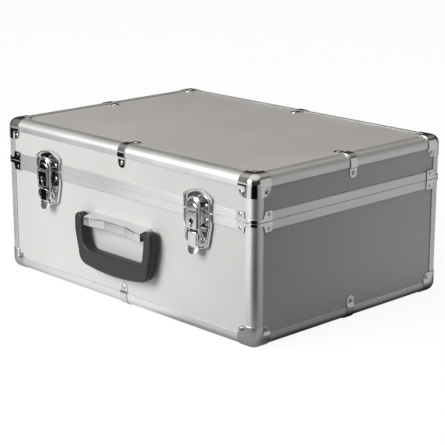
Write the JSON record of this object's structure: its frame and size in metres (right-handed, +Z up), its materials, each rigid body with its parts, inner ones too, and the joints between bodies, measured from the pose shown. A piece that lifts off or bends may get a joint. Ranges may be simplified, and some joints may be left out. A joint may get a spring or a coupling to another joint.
{
  "type": "art supply box",
  "caption": "Aluminium-framed art supply box: laminate panels in edge extrusions with corner caps, a hinged lid, keyed draw latches and a folding bail handle.",
  "frame": {"origin": "under the middle of the whole object, on the surface that it stands on", "axes": "+X along the length, towards the right end as seen from the front; +Y from the front, with the handle, to the back, with the hinges; +Z up"},
  "size_m": [0.4612, 0.3494, 0.2032],
  "materials": {
    "laminate": "thin fibreboard faced with a satin silver laminate",
    "aluminium": "satin anodised, drawn along its length",
    "chrome": "pressed and bright plated",
    "steel": "zinc plated",
    "black_plastic": "moulded with a fine texture",
    "lining": "thin black foam"
  },
  "bodies": {
    "case": {"body_floor_panel": "laminate", "body_front_panel": "laminate", "body_back_panel": "laminate", "body_left_panel": "laminate", "body_right_panel": "laminate", "body_edge_front": "aluminium", "body_edge_back": "aluminium", "body_edge_left": "aluminium", "body_edge_right": "aluminium", "body_post_front_left": "aluminium", "body_post_front_right": "aluminium", "body_post_back_left": "aluminium", "body_post_back_right": "aluminium", "body_rim_frame": "aluminium", "corner_cap_bottom_front_left": "chrome", "corner_cap_bottom_front_right": "chrome", "corner_cap_bottom_back_left": "chrome", "corner_cap_bottom_back_right": "chrome", "body_lining": "lining", "latch_base_left": "chrome", "latch_base_right": "chrome", "handle_bracket": "chrome", "handle_pin_left": "steel", "handle_pin_right": "steel", "hinge_left_body_leaf": "steel", "hinge_left_pin": "steel", "hinge_right_body_leaf": "steel", "hinge_right_pin": "steel"},
    "lid": {"lid_top_panel": "laminate", "lid_front_panel": "laminate", "lid_back_panel": "laminate", "lid_left_panel": "laminate", "lid_right_panel": "laminate", "lid_edge_front": "aluminium", "lid_edge_back": "aluminium", "lid_edge_left": "aluminium", "lid_edge_right": "aluminium", "lid_post_front_left": "aluminium", "lid_post_front_right": "aluminium", "lid_post_back_left": "aluminium", "lid_post_back_right": "aluminium", "lid_rim_frame": "aluminium", "corner_cap_top_front_left": "chrome", "corner_cap_top_front_right": "chrome", "corner_cap_top_back_left": "chrome", "corner_cap_top_back_right": "chrome", "lid_lining": "lining", "latch_catch_left": "chrome", "latch_catch_right": "chrome", "hinge_left_lid_leaf": "steel", "hinge_right_lid_leaf": "steel"},
    "handle": {"handle_grip": "black_plastic"},
    "lever_left": {"latch_lever_left": "chrome"},
    "hasp_left": {"latch_hasp_left": "chrome"},
    "lock_left": {"lock_cylinder_left": "chrome"},
    "lever_right": {"latch_lever_right": "chrome"},
    "hasp_right": {"latch_hasp_right": "chrome"},
    "lock_right": {"lock_cylinder_right": "chrome"}
  },
  "joints": [
    {"name": "lid_hinge", "type": "hinge", "parent": "case", "child": "lid", "pos_m": [0, 0.1717, 0.1479], "axis": [-1, 0, 0], "range_deg": [0, 95]},
    {"name": "handle_swing", "type": "hinge", "parent": "case", "child": "handle", "pos_m": [0, -0.1677, 0.0996], "axis": [-1, 0, 0], "range_deg": [0, 90]},
    {"name": "lever_left_lift", "type": "hinge", "parent": "case", "child": "lever_left", "pos_m": [-0.1393, -0.1643, 0.1236], "axis": [-1, 0, 0], "range_deg": [0, 90]},
    {"name": "hasp_left_swing", "type": "hinge", "parent": "lever_left", "child": "hasp_left", "pos_m": [-0.1393, -0.1657, 0.1156], "axis": [1, 0, 0], "range_deg": [0, 108]},
    {"name": "lock_left_turn", "type": "hinge", "parent": "hasp_left", "child": "lock_left", "pos_m": [-0.1393, -0.1672, 0.1368], "axis": [0, 1, 0], "range_deg": [0, 90]},
    {"name": "lever_right_lift", "type": "hinge", "parent": "case", "child": "lever_right", "pos_m": [0.1393, -0.1643, 0.1236], "axis": [-1, 0, 0], "range_deg": [0, 90]},
    {"name": "hasp_right_swing", "type": "hinge", "parent": "lever_right", "child": "hasp_right", "pos_m": [0.1393, -0.1657, 0.1156], "axis": [1, 0, 0], "range_deg": [0, 108]},
    {"name": "lock_right_turn", "type": "hinge", "parent": "hasp_right", "child": "lock_right", "pos_m": [0.1393, -0.1672, 0.1368], "axis": [0, 1, 0], "range_deg": [0, 90]}
  ],
  "couplings": [
    {"joint": "hasp_left_swing", "follows": "lever_left_lift", "ratio": 1.2},
    {"joint": "hasp_right_swing", "follows": "lever_right_lift", "ratio": 1.2}
  ]
}
